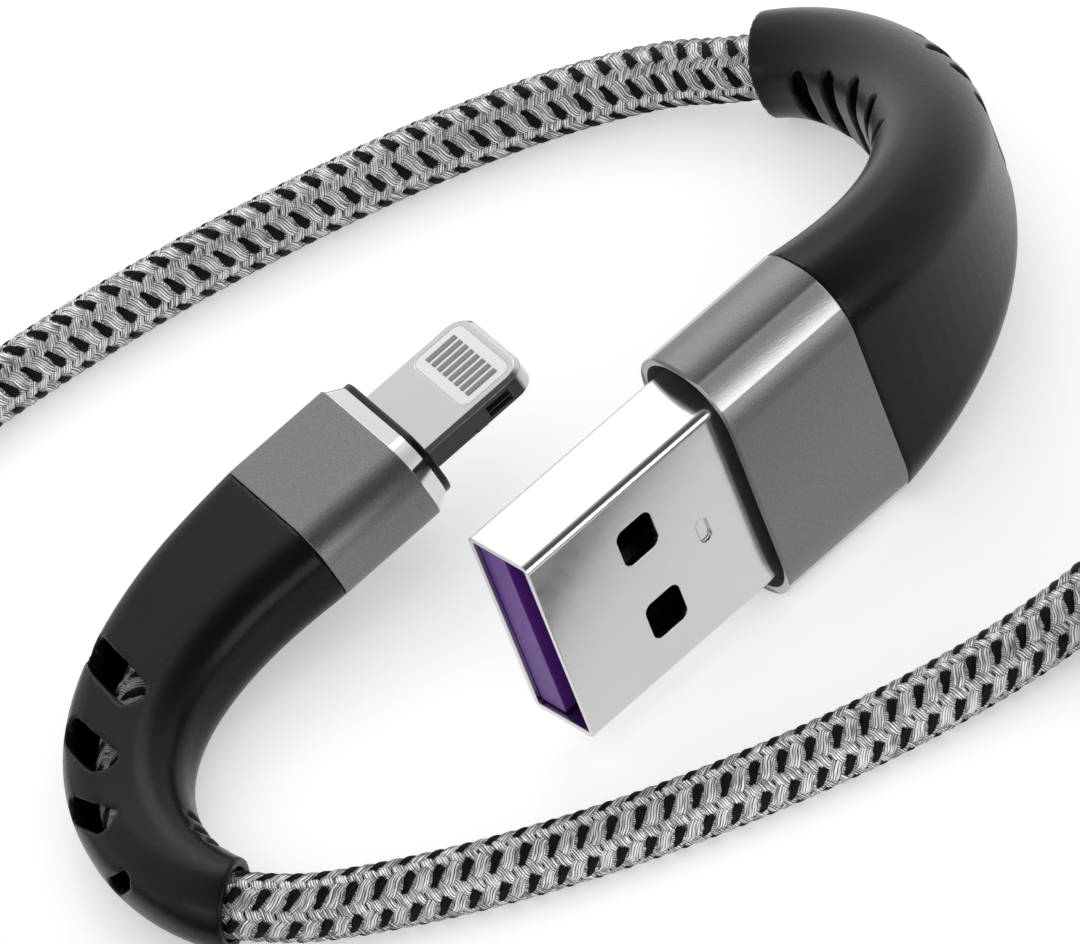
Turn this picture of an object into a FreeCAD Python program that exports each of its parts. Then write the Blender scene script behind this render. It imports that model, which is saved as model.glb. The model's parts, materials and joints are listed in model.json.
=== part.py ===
import FreeCAD, Part
import math
import os

# Braided charging cable: a wide host plug, a slim reversible phone plug, a long soft boot behind
# each, and one braided cord between them. Millimetres, +Z up. The cable lies on the plane z = 0.
# The origin is under the middle of the two plugs with their boots. The host plug points along -X.

V = FreeCAD.Vector

CORD_DIAMETER = 3.4

# --- host plug: shell, tongue and contacts -------------------------------------------------------
HOST_SHELL_WIDTH = 12.0        # along Z, the plug stands on its narrow side
HOST_SHELL_THICKNESS = 4.5     # along Y
HOST_SHELL_WALL = 0.3
HOST_SHELL_CORNER = 0.45
HOST_SHELL_LENGTH = 18.7
HOST_EXPOSED = 12.8            # shell in front of the sleeve
WINDOW_SIZE = 2.3
WINDOW_CORNER = 0.5
WINDOW_FROM_MOUTH = 6.3        # centre of the latch windows
WINDOW_SPREAD = 2.55           # each window's centre from the middle of the shell
DIMPLE_LENGTH = 1.5
DIMPLE_WIDTH = 0.75
DIMPLE_DEPTH = 0.18
DIMPLE_FROM_MOUTH = 9.9
TONGUE_WIDTH = HOST_SHELL_WIDTH - 0.9
TONGUE_THICKNESS = 1.9
TONGUE_RECESS = 0.25           # tongue tip behind the mouth
TONGUE_LENGTH = 11.6
TONGUE_BASE_END = 17.4         # back of the block that fills the shell
CONTACT_WIDTH = 1.0
CONTACT_THICKNESS = 0.25
CONTACT_SUNK = 0.2
CONTACT_PITCH_OUTER = 3.5      # power and ground from the middle
CONTACT_PITCH_INNER = 1.0      # the data pair from the middle
CONTACT_START_OUTER = 1.2
CONTACT_START_INNER = 2.2
CONTACT_TAIL = 1.6             # bare tail behind the block

# --- host sleeve, inner mould and boot -----------------------------------------------------------
HOST_SLEEVE_WIDTH = 15.4
HOST_SLEEVE_THICKNESS = 6.8
HOST_SLEEVE_CORNER = 3.1
HOST_SLEEVE_WALL = 0.4
HOST_SLEEVE_LENGTH = 8.3
HOST_MOULD_DEPTH = 4.2         # mould inside the sleeve
HOST_TENON_LENGTH = 2.2        # mould inside the boot
HOST_BOOT_WALL = 0.9
HOST_BOOT_END = CORD_DIAMETER + 2.1    # outside at the cord exit
HOST_BOOT_TAPER_WIDTH = 1.64   # how fast the width runs down to the round end
HOST_BOOT_TAPER_THICKNESS = 1.41

# --- phone plug: tab, insert and contacts --------------------------------------------------------
TAB_WIDTH = 6.7
TAB_THICKNESS = 1.5
TAB_EXPOSED = 6.7
TAB_HIDDEN = 3.6
TAB_TIP_CORNER = 1.2
TAB_EDGE = 0.22                # chamfer round the wide faces
INSERT_WIDTH = 5.5
INSERT_LENGTH = 3.2
INSERT_FROM_TIP = 0.55
INSERT_CORNER = 0.6
INSERT_GAP = 0.01
PAD_COUNT = 8
PAD_WIDTH = 0.36
PAD_LENGTH = 1.9
PAD_PITCH = 0.59
PAD_THICKNESS = 0.15
PAD_SUNK = 0.12
NOTCH_LENGTH = 1.5             # latch notch in each narrow side
NOTCH_DEPTH = 0.45
NOTCH_HEIGHT = 0.75
NOTCH_FROM_TIP = 2.2
RELIEF_RADIUS = 0.42           # round relief behind the notch
RELIEF_FROM_TIP = 3.6

# --- phone bezel, sleeve, mould, board and boot --------------------------------------------------
PHONE_SLEEVE_WIDTH = 10.0
PHONE_SLEEVE_THICKNESS = CORD_DIAMETER + 1.4
LIP_WIDTH = PHONE_SLEEVE_WIDTH - 1.1
LIP_THICKNESS = PHONE_SLEEVE_THICKNESS - 0.7
LIP_DEPTH = 0.4
LIP_CORNER = 1.75
BEZEL_DEPTH = 0.9
BEZEL_INSET = 0.06             # bezel foot inside the sleeve's rim
BEZEL_SKIRT = 1.0              # bezel inside the sleeve
PHONE_SLEEVE_CORNER = 1.9
PHONE_SLEEVE_WALL = 0.4
PHONE_SLEEVE_LENGTH = 6.2
PHONE_TENON_LENGTH = 1.8
PHONE_BOOT_WALL = 0.75
PHONE_BOOT_END = CORD_DIAMETER + 1.3
PHONE_BOOT_TAPER_WIDTH = 1.89
PHONE_BOOT_TAPER_THICKNESS = 1.0
BOARD_WIDTH = PHONE_SLEEVE_WIDTH - 2.8
BOARD_TONGUE = 4.4             # the board's narrow end, inside the tab
BOARD_THICKNESS = 0.5
BOARD_END_ROOM = 0.4           # between the board and the back of its chamber
CHIP_WIDTH = 3.0
CHIP_LENGTH = 1.8
CHIP_HEIGHT = 0.7

# --- cord and what holds it ----------------------------------------------------------------------
CORD_SEAT = 0.05               # under a cord that lies on the table
BOOT_BORE_CLEARANCE = 0.3      # between cord and boot, on the diameter
CORD_END_START = 0.01          # where the cord begins inside a boot, as a share of its bend
CORD_END_STOP = 0.997          # and where it meets the cord outside
CRIMP_WALL = 0.35
CRIMP_LENGTH = 1.2
CRIMP_CLEARANCE = 0.12         # round the cord, which starts to bend inside the crimp
WIRE_DIAMETER = 0.6
FIT = 0.05                     # between pieces that are pressed or moulded together

# --- slots of the boots --------------------------------------------------------------------------
# One row for each slot: its place along the boot from 0 at the sleeve to 1 at the exit, the side
# that it faces in degrees (0 inside the bend, 90 up, 180 outside), its slant in degrees from
# straight across, its height and its width.
SLOT_DEPTH = 7.0               # how far a cut reaches from the middle line
HOST_SLOTS = [
    (0.390, 0, 0, 8.4, 1.15),
    (0.495, 0, 0, 7.2, 1.25),
    (0.600, 0, 0, 6.0, 1.35),
    (0.710, 0, 0, 4.6, 1.35),
    (0.820, 0, 0, 3.4, 1.30),
    (0.445, 180, 0, 5.6, 1.40),
    (0.510, 180, 0, 6.4, 1.40),
    (0.575, 180, 0, 6.6, 1.40),
    (0.640, 180, 0, 5.4, 1.30),
    (0.705, 180, 0, 4.4, 1.30),
]
PHONE_SLOTS = [
    (0.665, 2, 0, 2.6, 0.70),
    (0.735, 6, 0, 2.8, 0.75),
    (0.805, 10, 0, 2.6, 0.75),
    (0.260, 118, 40, 6.2, 1.55),
    (0.398, 125, 58, 5.0, 1.40),
    (0.540, 139, 62, 4.3, 1.30),
    (0.690, 166, 50, 2.8, 1.00),
]

# --- how the cable lies --------------------------------------------------------------------------
HOST_JOINT = V(10.65, -11.45, HOST_SLEEVE_WIDTH / 2)        # middle of the sleeve's back end
HOST_BOOT_EXIT = V(27.19, 13.27, HOST_BOOT_END / 2)
HOST_EXIT_HEADING = 125.0
HOST_BOOT_REACH = (15.1, 7.6)  # straight pull of the bend at the sleeve and at the exit
HOST_EXIT_RISE = 0.8           # how far the bend comes down to the exit
PHONE_JOINT = V(-10.47, 8.8, PHONE_SLEEVE_THICKNESS / 2 + 1.9)
PHONE_TIP_WAY = V(0.974, -0.163, 0.167)                    # from the sleeve towards the tab's tip
PHONE_FACE_WAY = V(-0.147, 0.121, 0.982)                   # out of the upper contact face
PHONE_BOOT_EXIT = V(-28.68, -6.89, PHONE_BOOT_END / 2 + 0.3)
PHONE_EXIT_HEADING = 300.0
PHONE_BOOT_REACH = (18.5, 3.2)
PHONE_EXIT_RISE = 0.5          # how far the bend comes down to the exit

COIL_CENTRE = V(24.82, -53.49, 0)
COIL_RADIUS = 18.7             # middle of the turns
COIL_PITCH = CORD_DIAMETER + 0.05      # between neighbouring turns
COIL_SKIN = 0.04               # of the coil's solid outside its turns
COIL_COLUMNS = 3
COIL_ROWS = 2
COIL_IN_ANGLE = -120.0         # where the host plug's side runs into the coil's lower row
COIL_OUT_ANGLE = 84.0          # where the phone plug's side leaves its upper row
COIL_LEAD = 13.5               # straight cord that belongs to the coil at each end

LOW = CORD_DIAMETER / 2 + CORD_SEAT
COIL_OUTER_TURN = COIL_RADIUS + COIL_PITCH * (COIL_COLUMNS - 1) / 2
COIL_UPPER_ROW = LOW + COIL_PITCH * (COIL_ROWS - 1)
HOST_ROUTE = [
    HOST_BOOT_EXIT,
    V(25.90, 15.05, LOW + 0.77),
    V(24.35, 18.43, LOW + 0.35),
    V(18.59, 23.44, LOW),
    V(8.82, 28.21, LOW),
    V(-3.49, 32.19, LOW),
    V(-16.76, 34.30, LOW),
    V(-29.96, 28.98, LOW),
    V(-38.83, 16.85, LOW),
    V(-40.14, 1.65, LOW),
    V(-35.02, -12.33, LOW),
    V(-27.45, -26.31, LOW),
    V(-18.38, -41.79, LOW),
    V(-8.38, -59.89, LOW),
    V(2.02, -65.89, LOW),
]
PHONE_ROUTE = [
    PHONE_BOOT_EXIT,
    V(-27.63, -8.67, LOW + 0.61),
    V(-25.45, -11.00, LOW + 0.2),
    V(-19.70, -16.03, LOW),
    V(-11.75, -21.46, LOW),
    V(-1.93, -26.20, LOW),
    V(7.64, -28.91, LOW),
    V(15.60, -29.98, LOW + 1.38),
]


# --- helpers -------------------------------------------------------------------------------------
def unit(v):
    return v * (1.0 / v.Length)


def heading(degrees):
    return V(math.cos(math.radians(degrees)), math.sin(math.radians(degrees)), 0)


def rounded_wire(width, height, corner, place, across, up):
    """A closed rectangle with round corners, in the plane of across and up, round place."""
    a = width / 2 - corner
    b = height / 2 - corner
    diagonal = corner * math.sqrt(0.5)

    def at(x, y):
        return place + across * x + up * y

    edges = []
    for sx, sy in [(1, 1), (-1, 1), (-1, -1), (1, -1)]:
        middle = at(sx * (a + diagonal), sy * (b + diagonal))
        side_end = at(sx * (a + corner), sy * b)
        top_end = at(sx * a, sy * (b + corner))
        ends = (side_end, top_end) if sx == sy else (top_end, side_end)
        edges.append((ends[0], middle, ends[1]))
    parts = []
    for k, (start, middle, end) in enumerate(edges):
        parts.append(Part.Arc(start, middle, end).toShape())
        parts.append(Part.makeLine(end, edges[(k + 1) % 4][0]))
    return Part.Wire(parts)


def block(x0, x1, width, height, corner=0.0, y=0.0, z=0.0):
    """A bar along X from x0 to x1, width along Y and height along Z, with round long edges."""
    if corner > 0:
        wire = rounded_wire(width, height, corner, V(x0, y, z), V(0, 1, 0), V(0, 0, 1))
        return Part.Face(wire).extrude(V(x1 - x0, 0, 0))
    return Part.makeBox(x1 - x0, width, height, V(x0, y - width / 2, z - height / 2))


def rod(start, end, diameter):
    return Part.makeCylinder(diameter / 2, (end - start).Length, start, end - start)


class Bend:
    """The middle line of a boot: one cubic curve, straight out of the sleeve and of the exit."""

    def __init__(self, start, way, face, exit_point, exit_way, reach, rise):
        second = start + way * reach[0]
        third = exit_point - exit_way * reach[1] + V(0, 0, rise)
        self.points = (start, second, third, exit_point)
        self.face = face

    def place(self, t):
        a, b, c, d = self.points
        s = 1 - t
        return a * s**3 + b * (3 * s * s * t) + c * (3 * s * t * t) + d * t**3

    def way(self, t):
        a, b, c, d = self.points
        s = 1 - t
        return unit((b - a) * (s * s) + (c - b) * (2 * s * t) + (d - c) * (t * t))

    def axes(self, t):
        """Way along the boot, way across it towards the inside of the bend, and way up."""
        along = self.way(t)
        up = self.face * (1 - t) + V(0, 0, 1) * t
        up = unit(up - along * up.dot(along))
        return along, up.cross(along), up


def taper(root, end, power, t):
    return end + (root - end) * (1 - t) ** power


def boot_loft(bend, across, up, end, corner, powers, steps=12):
    """A solid whose section runs from a flat rounded bar at the sleeve to a round end."""
    wires = []
    for k in range(steps + 1):
        t = k / steps
        _, side, top = bend.axes(t)
        w = taper(across, end, powers[0], t)
        h = taper(up, end, powers[1], t)
        r = taper(corner, end / 2, 1.0, t)
        r = min(r, w / 2 - 0.04, h / 2 - 0.04)
        wires.append(rounded_wire(w, h, r, bend.place(t), side, top))
    return Part.makeLoft(wires, True, False)


def cord_in_boot(bend, diameter, first, last, steps=12):
    """The cord's straight-cut end that runs inside a boot."""
    wires = []
    for k in range(steps + 1):
        t = first + (last - first) * k / steps
        along, side, _ = bend.axes(t)
        circle = Part.Circle(bend.place(t), along, diameter / 2)
        wires.append(Part.Wire([circle.toShape()]))
    return Part.makeLoft(wires, True, False)


def slot_cutter(bend, t, facing, slant, height, width):
    """A slot with round ends that goes out from the boot's middle line."""
    along, side, up = bend.axes(t)
    out = side * math.cos(math.radians(facing)) + up * math.sin(math.radians(facing))
    rise = up * math.cos(math.radians(facing)) - side * math.sin(math.radians(facing))
    tall = rise * math.cos(math.radians(slant)) - along * math.sin(math.radians(slant))
    wide = along * math.cos(math.radians(slant)) + rise * math.sin(math.radians(slant))
    wire = rounded_wire(width, height, width / 2 - 0.02, bend.place(t) + out * 0.3, wide, tall)
    return Part.Face(wire).extrude(out * SLOT_DEPTH)


def boot(bend, root, corner, end, powers, wall, slots):
    """The soft boot: a hollow tapering tube with slots on the outside and inside of its bend."""
    across, up = root
    bore = CORD_DIAMETER + BOOT_BORE_CLEARANCE
    hollow = (max(across - 2 * wall, bore), max(up - 2 * wall, bore))
    hollow_corner = max(corner - wall, 0.4)
    body = boot_loft(bend, across, up, end, corner, powers)
    body = body.cut(boot_loft(bend, hollow[0], hollow[1], bore, hollow_corner, powers))
    for slot in slots:
        body = body.cut(slot_cutter(bend, *slot))
    return body


def route_path(points, name):
    """Straight runs joined by tangent arcs, each as large as its two runs allow."""
    edges = []
    start = points[0]
    radii = []
    for before, corner, after in zip(points, points[1:], points[2:]):
        back = before - corner
        ahead = after - corner
        turn = math.pi - back.getAngle(ahead)
        cut = 0.45 * min(back.Length, ahead.Length)
        radius = cut / math.tan(turn / 2)
        radii.append(radius)
        begin = corner + unit(back) * cut
        end = corner + unit(ahead) * cut
        bulge = unit(unit(back) + unit(ahead))
        middle = corner + bulge * (radius / math.cos(turn / 2) - radius)
        edges.append(Part.LineSegment(start, begin).toShape())
        edges.append(Part.Arc(begin, middle, end).toShape())
        start = end
    edges.append(Part.LineSegment(start, points[-1]).toShape())
    print(name, "radii", [round(r, 1) for r in radii])
    return Part.Wire(edges)


def cord_run(points, name):
    path = route_path(points, name)
    way = points[1] - points[0]
    profile = Part.Wire([Part.Circle(points[0], way, CORD_DIAMETER / 2).toShape()])
    tube = path.makePipeShell([profile], True, False)
    expected = math.pi * CORD_DIAMETER**2 / 4 * path.Length
    print(name, "length", round(path.Length, 1), "volume share", round(tube.Volume / expected, 4))
    return tube, path.Length


# --- host plug -----------------------------------------------------------------------------------
# In the plug's own frame the mouth is at x = 0, the cord goes towards +X and z = 0 is the middle.
HOST_LENGTH = HOST_EXPOSED + HOST_SLEEVE_LENGTH
host_place = FreeCAD.Placement(HOST_JOINT - V(HOST_LENGTH, 0, 0), FreeCAD.Rotation())
host_bend = Bend(
    HOST_JOINT,
    V(1, 0, 0),
    V(0, 0, 1),
    HOST_BOOT_EXIT,
    heading(HOST_EXIT_HEADING),
    HOST_BOOT_REACH,
    HOST_EXIT_RISE,
)
SHELL_INNER_T = HOST_SHELL_THICKNESS - 2 * HOST_SHELL_WALL
SHELL_INNER_W = HOST_SHELL_WIDTH - 2 * HOST_SHELL_WALL
TONGUE_Y = SHELL_INNER_T / 2 - TONGUE_THICKNESS / 2 - FIT
TONGUE_FACE_Y = TONGUE_Y - TONGUE_THICKNESS / 2


def host_shell():
    outer = block(0, HOST_SHELL_LENGTH, HOST_SHELL_THICKNESS, HOST_SHELL_WIDTH, HOST_SHELL_CORNER)
    corner = HOST_SHELL_CORNER - HOST_SHELL_WALL
    inner = block(-1, HOST_SHELL_LENGTH + 1, SHELL_INNER_T, SHELL_INNER_W, corner)
    shell = outer.cut(inner)
    for side in (-1, 1):
        y = side * HOST_SHELL_THICKNESS / 2
        for z in (-WINDOW_SPREAD, WINDOW_SPREAD):
            middle = V(WINDOW_FROM_MOUTH, y - side * 1.0, z)
            wire = rounded_wire(
                WINDOW_SIZE, WINDOW_SIZE, WINDOW_CORNER, middle, V(1, 0, 0), V(0, 0, 1)
            )
            shell = shell.cut(Part.Face(wire).extrude(V(0, side * 2.0, 0)))
    floor = V(DIMPLE_FROM_MOUTH, -HOST_SHELL_THICKNESS / 2 + DIMPLE_DEPTH, 0)
    wire = rounded_wire(
        DIMPLE_WIDTH, DIMPLE_LENGTH, DIMPLE_WIDTH / 2 - 0.02, floor, V(1, 0, 0), V(0, 0, 1)
    )
    return shell.cut(Part.Face(wire).extrude(V(0, -1, 0)))


def contact_z(k):
    return (-CONTACT_PITCH_OUTER, -CONTACT_PITCH_INNER, CONTACT_PITCH_INNER, CONTACT_PITCH_OUTER)[k]


def contact_start(k):
    return CONTACT_START_OUTER if k in (0, 3) else CONTACT_START_INNER


def host_contact(k):
    y = TONGUE_FACE_Y + CONTACT_SUNK - CONTACT_THICKNESS / 2
    end = TONGUE_BASE_END + CONTACT_TAIL
    return block(contact_start(k), end, CONTACT_THICKNESS, CONTACT_WIDTH, 0, y, contact_z(k))


def host_tongue():
    tip = block(TONGUE_RECESS, TONGUE_LENGTH + 1, TONGUE_THICKNESS, TONGUE_WIDTH, 0.2, TONGUE_Y)
    base_t = SHELL_INNER_T - 2 * FIT
    base_w = SHELL_INNER_W - 2 * FIT
    body = tip.fuse(block(TONGUE_LENGTH, TONGUE_BASE_END, base_t, base_w, 0.12))
    groove_y = TONGUE_FACE_Y + CONTACT_SUNK - CONTACT_THICKNESS / 2
    for k in range(4):
        groove = block(
            contact_start(k) - FIT,
            TONGUE_BASE_END + 1,
            CONTACT_THICKNESS + 0.001,
            CONTACT_WIDTH + 0.02,
            0,
            groove_y,
            contact_z(k),
        )
        body = body.cut(groove)
    return body.removeSplitter()


SLEEVE_START = HOST_EXPOSED
MOULD_START = HOST_LENGTH - HOST_MOULD_DEPTH
CHAMBER_T = 3.2                # room for tails and wires inside the mould
CHAMBER_W = 10.0
CHAMBER_END = HOST_LENGTH - 0.2
CRIMP_OUTER = CORD_DIAMETER + 2 * (CRIMP_CLEARANCE + CRIMP_WALL)
HOST_CORD_START = host_bend.place(CORD_END_START).x - host_place.Base.x


def host_sleeve():
    t, w = HOST_SLEEVE_THICKNESS, HOST_SLEEVE_WIDTH
    outer = block(SLEEVE_START, HOST_LENGTH, t, w, HOST_SLEEVE_CORNER)
    wall = HOST_SLEEVE_WALL
    inner = block(
        SLEEVE_START - 1, HOST_LENGTH + 1, t - 2 * wall, w - 2 * wall, HOST_SLEEVE_CORNER - wall
    )
    return outer.cut(inner)


def host_inner_mould():
    wall = HOST_SLEEVE_WALL + FIT
    t = HOST_SLEEVE_THICKNESS - 2 * wall
    w = HOST_SLEEVE_WIDTH - 2 * wall
    body = block(MOULD_START, HOST_LENGTH, t, w, HOST_SLEEVE_CORNER - wall)
    tenon_t = HOST_SLEEVE_THICKNESS - 2 * HOST_BOOT_WALL - 0.5
    tenon_w = HOST_SLEEVE_WIDTH - 2 * HOST_BOOT_WALL - 1.6
    tenon = block(HOST_LENGTH - 0.5, HOST_LENGTH + HOST_TENON_LENGTH, tenon_t, tenon_w, 1.6)
    body = body.fuse(tenon)
    pocket = block(
        MOULD_START - 1,
        HOST_SHELL_LENGTH + FIT,
        HOST_SHELL_THICKNESS + 2 * FIT,
        HOST_SHELL_WIDTH + 2 * FIT,
        HOST_SHELL_CORNER + FIT,
    )
    chamber = block(HOST_SHELL_LENGTH, CHAMBER_END, CHAMBER_T, CHAMBER_W)
    hole = rod(V(CHAMBER_END - 0.1, 0, 0), V(HOST_LENGTH + 9, 0, 0), CRIMP_OUTER + 2 * FIT)
    return body.cut(pocket).cut(chamber).cut(hole).removeSplitter()


def host_crimp():
    start = V(HOST_CORD_START + FIT, 0, 0)
    end = start + V(CRIMP_LENGTH, 0, 0)
    outer = rod(start, end, CRIMP_OUTER)
    return outer.cut(rod(start - V(1, 0, 0), end + V(1, 0, 0), CORD_DIAMETER + 2 * CRIMP_CLEARANCE))


def host_wires():
    tail_end = TONGUE_BASE_END + CONTACT_TAIL
    y = TONGUE_FACE_Y + CONTACT_SUNK - CONTACT_THICKNESS - WIRE_DIAMETER / 2 - 0.01
    wires = []
    for k in range(4):
        z = contact_z(k)
        begin = V(tail_end - 1.1, y, z)
        turn = V(tail_end + 0.05, y, z)
        end = V(HOST_CORD_START - 3 * FIT, (k % 2 - 0.5) * 0.9, (k // 2 - 0.5) * 1.1)
        wire = rod(begin, turn, WIRE_DIAMETER).fuse(rod(turn, end, WIRE_DIAMETER))
        ball = Part.makeSphere(WIRE_DIAMETER / 2, turn)
        wires.append(wire.fuse(ball))
    return Part.makeCompound(wires)


def host_boot():
    return boot(
        host_bend,
        (HOST_SLEEVE_THICKNESS, HOST_SLEEVE_WIDTH),
        HOST_SLEEVE_CORNER,
        HOST_BOOT_END,
        (HOST_BOOT_TAPER_THICKNESS, HOST_BOOT_TAPER_WIDTH),
        HOST_BOOT_WALL,
        HOST_SLOTS,
    )


def host_cord_end():
    return cord_in_boot(host_bend, CORD_DIAMETER, CORD_END_START, CORD_END_STOP)


# --- phone plug ----------------------------------------------------------------------------------
# In its own frame the tab's tip is at x = 0, the cord goes towards +X and +Z is the upper face.
RIM = TAB_EXPOSED
BEZEL_START = RIM + LIP_DEPTH
PHONE_SLEEVE_START = BEZEL_START + BEZEL_DEPTH
PHONE_LENGTH = PHONE_SLEEVE_START + PHONE_SLEEVE_LENGTH
tip_way = unit(PHONE_TIP_WAY)
face_way = unit(PHONE_FACE_WAY - tip_way * PHONE_FACE_WAY.dot(tip_way))
side_way = face_way.cross(tip_way * -1)
phone_turn = FreeCAD.Rotation(tip_way * -1, side_way, face_way, "XZY")
phone_place = FreeCAD.Placement(PHONE_JOINT + tip_way * PHONE_LENGTH, phone_turn)
TAB_END = RIM + TAB_HIDDEN
phone_bend = Bend(
    PHONE_JOINT,
    tip_way * -1,
    face_way,
    PHONE_BOOT_EXIT,
    heading(PHONE_EXIT_HEADING),
    PHONE_BOOT_REACH,
    PHONE_EXIT_RISE,
)
PHONE_CORD_START = PHONE_LENGTH + (phone_bend.place(CORD_END_START) - PHONE_JOINT).Length
INSERT_START = INSERT_FROM_TIP
INSERT_END = INSERT_FROM_TIP + INSERT_LENGTH
BOARD_FRONT = INSERT_END - 1.6
CHAMBER_HEIGHT = 2.8           # room for the board and chip inside the mould
PHONE_CHAMBER_END = PHONE_LENGTH - 0.5


def slab(x0, x1, width, z0, z1, corner):
    """A plate in the XY plane between x0 and x1 with four round corners."""
    middle = V((x0 + x1) / 2, 0, z0)
    wire = rounded_wire(x1 - x0, width, corner, middle, V(1, 0, 0), V(0, 1, 0))
    return Part.Face(wire).extrude(V(0, 0, z1 - z0))


def board_slot():
    """The slot through insert and tab that the board's narrow end fills."""
    start = BOARD_FRONT - FIT
    return block(start, TAB_END + 1, BOARD_TONGUE + 2 * FIT, BOARD_THICKNESS + 2 * FIT)


def phone_tab():
    half = TAB_THICKNESS / 2
    body = slab(0, TAB_END, TAB_WIDTH, -half, half, TAB_TIP_CORNER)
    rims = [
        e for e in body.Edges if abs(abs(e.CenterOfMass.z) - half) < 1e-4 and e.Length > 0.1
    ]
    body = body.makeChamfer(TAB_EDGE, rims)
    window = slab(INSERT_START, INSERT_END, INSERT_WIDTH, -half - 1, half + 1, INSERT_CORNER)
    body = body.cut(window).cut(board_slot())
    for side in (-1, 1):
        y = side * (TAB_WIDTH / 2 - NOTCH_DEPTH / 2 + 0.5)
        notch = block(
            NOTCH_FROM_TIP - NOTCH_LENGTH / 2,
            NOTCH_FROM_TIP + NOTCH_LENGTH / 2,
            NOTCH_DEPTH + 1.0,
            NOTCH_HEIGHT,
            0,
            y,
        )
        relief_start = V(RELIEF_FROM_TIP, side * (TAB_WIDTH / 2 - 0.25), -half / 2)
        relief = rod(relief_start, relief_start + V(0, side * 2, 0), 2 * RELIEF_RADIUS)
        body = body.cut(notch).cut(relief)
    return body


def pad_places():
    return [(k - (PAD_COUNT - 1) / 2) * PAD_PITCH for k in range(PAD_COUNT)]


def phone_pads(side):
    middle = (INSERT_START + INSERT_END) / 2
    z_in = TAB_THICKNESS / 2 - PAD_SUNK
    pads = []
    for y in pad_places():
        z = side * (z_in + PAD_THICKNESS / 2)
        half = PAD_LENGTH / 2
        pads.append(block(middle - half, middle + half, PAD_WIDTH, PAD_THICKNESS, 0, y, z))
    return Part.makeCompound(pads)


def phone_insert():
    half = TAB_THICKNESS / 2
    gap = INSERT_GAP
    width = INSERT_WIDTH - 2 * gap
    body = slab(INSERT_START + gap, INSERT_END - gap, width, -half, half, INSERT_CORNER - gap)
    body = body.cut(board_slot())
    middle = (INSERT_START + INSERT_END) / 2
    for side in (-1, 1):
        for y in pad_places():
            z = side * (half - PAD_SUNK / 2 + 0.25)
            reach = PAD_LENGTH / 2 + 0.005
            pocket = block(
                middle - reach, middle + reach, PAD_WIDTH + 0.01, PAD_SUNK + 0.5, 0, y, z
            )
            body = body.cut(pocket)
    return body


def tab_hole(x0, x1):
    return block(x0, x1, TAB_WIDTH + 2 * FIT, TAB_THICKNESS + 2 * FIT, 0.15)


def phone_lip():
    ring = block(RIM, BEZEL_START, LIP_WIDTH, LIP_THICKNESS, LIP_CORNER)
    front = [e for e in ring.Edges if abs(e.CenterOfMass.x - RIM) < 1e-4]
    return ring.makeFillet(0.15, front).cut(tab_hole(RIM - 1, BEZEL_START + 1))


def phone_bezel():
    foot_w = PHONE_SLEEVE_WIDTH - 2 * BEZEL_INSET
    foot_t = PHONE_SLEEVE_THICKNESS - 2 * BEZEL_INSET
    axes = (V(0, 1, 0), V(0, 0, 1))
    nose = rounded_wire(LIP_WIDTH, LIP_THICKNESS, LIP_CORNER, V(BEZEL_START, 0, 0), *axes)
    foot = rounded_wire(
        foot_w, foot_t, PHONE_SLEEVE_CORNER - BEZEL_INSET, V(PHONE_SLEEVE_START, 0, 0), *axes
    )
    cone = Part.makeLoft([nose, foot], True, True)
    wall = PHONE_SLEEVE_WALL + FIT
    skirt = block(
        PHONE_SLEEVE_START - 0.2,
        PHONE_SLEEVE_START + BEZEL_SKIRT,
        PHONE_SLEEVE_WIDTH - 2 * wall,
        PHONE_SLEEVE_THICKNESS - 2 * wall,
        PHONE_SLEEVE_CORNER - wall,
    )
    ring = cone.fuse(skirt)
    return ring.cut(tab_hole(BEZEL_START - 1, PHONE_SLEEVE_START + 3))


def phone_sleeve():
    t, w = PHONE_SLEEVE_THICKNESS, PHONE_SLEEVE_WIDTH
    outer = block(PHONE_SLEEVE_START, PHONE_LENGTH, w, t, PHONE_SLEEVE_CORNER)
    wall = PHONE_SLEEVE_WALL
    inner = block(
        PHONE_SLEEVE_START - 1,
        PHONE_LENGTH + 1,
        w - 2 * wall,
        t - 2 * wall,
        PHONE_SLEEVE_CORNER - wall,
    )
    return outer.cut(inner)


def phone_inner_mould():
    wall = PHONE_SLEEVE_WALL + FIT
    t = PHONE_SLEEVE_THICKNESS - 2 * wall
    w = PHONE_SLEEVE_WIDTH - 2 * wall
    start = PHONE_SLEEVE_START + BEZEL_SKIRT + FIT
    body = block(start, PHONE_LENGTH, w, t, PHONE_SLEEVE_CORNER - wall)
    tenon_w = PHONE_SLEEVE_WIDTH - 2 * PHONE_BOOT_WALL - 1.5
    tenon_t = CORD_DIAMETER + 0.1
    tenon_end = PHONE_LENGTH + PHONE_TENON_LENGTH
    body = body.fuse(block(PHONE_LENGTH - 0.5, tenon_end, tenon_w, tenon_t, 1.5))
    chamber_w = max(BOARD_WIDTH, TAB_WIDTH + 0.4) + 2 * FIT
    chamber = block(start - 1, PHONE_CHAMBER_END, chamber_w, CHAMBER_HEIGHT)
    hole_start = V(PHONE_CHAMBER_END - 0.1, 0, 0)
    hole = rod(hole_start, V(PHONE_LENGTH + 9, 0, 0), CORD_DIAMETER + 2 * CRIMP_CLEARANCE)
    return body.cut(chamber).cut(hole).removeSplitter()


def phone_board():
    tongue = block(BOARD_FRONT, TAB_END + 1, BOARD_TONGUE, BOARD_THICKNESS)
    end = PHONE_CHAMBER_END - BOARD_END_ROOM
    wide = block(TAB_END + FIT, end, BOARD_WIDTH, BOARD_THICKNESS)
    return tongue.fuse(wide).removeSplitter()


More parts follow.
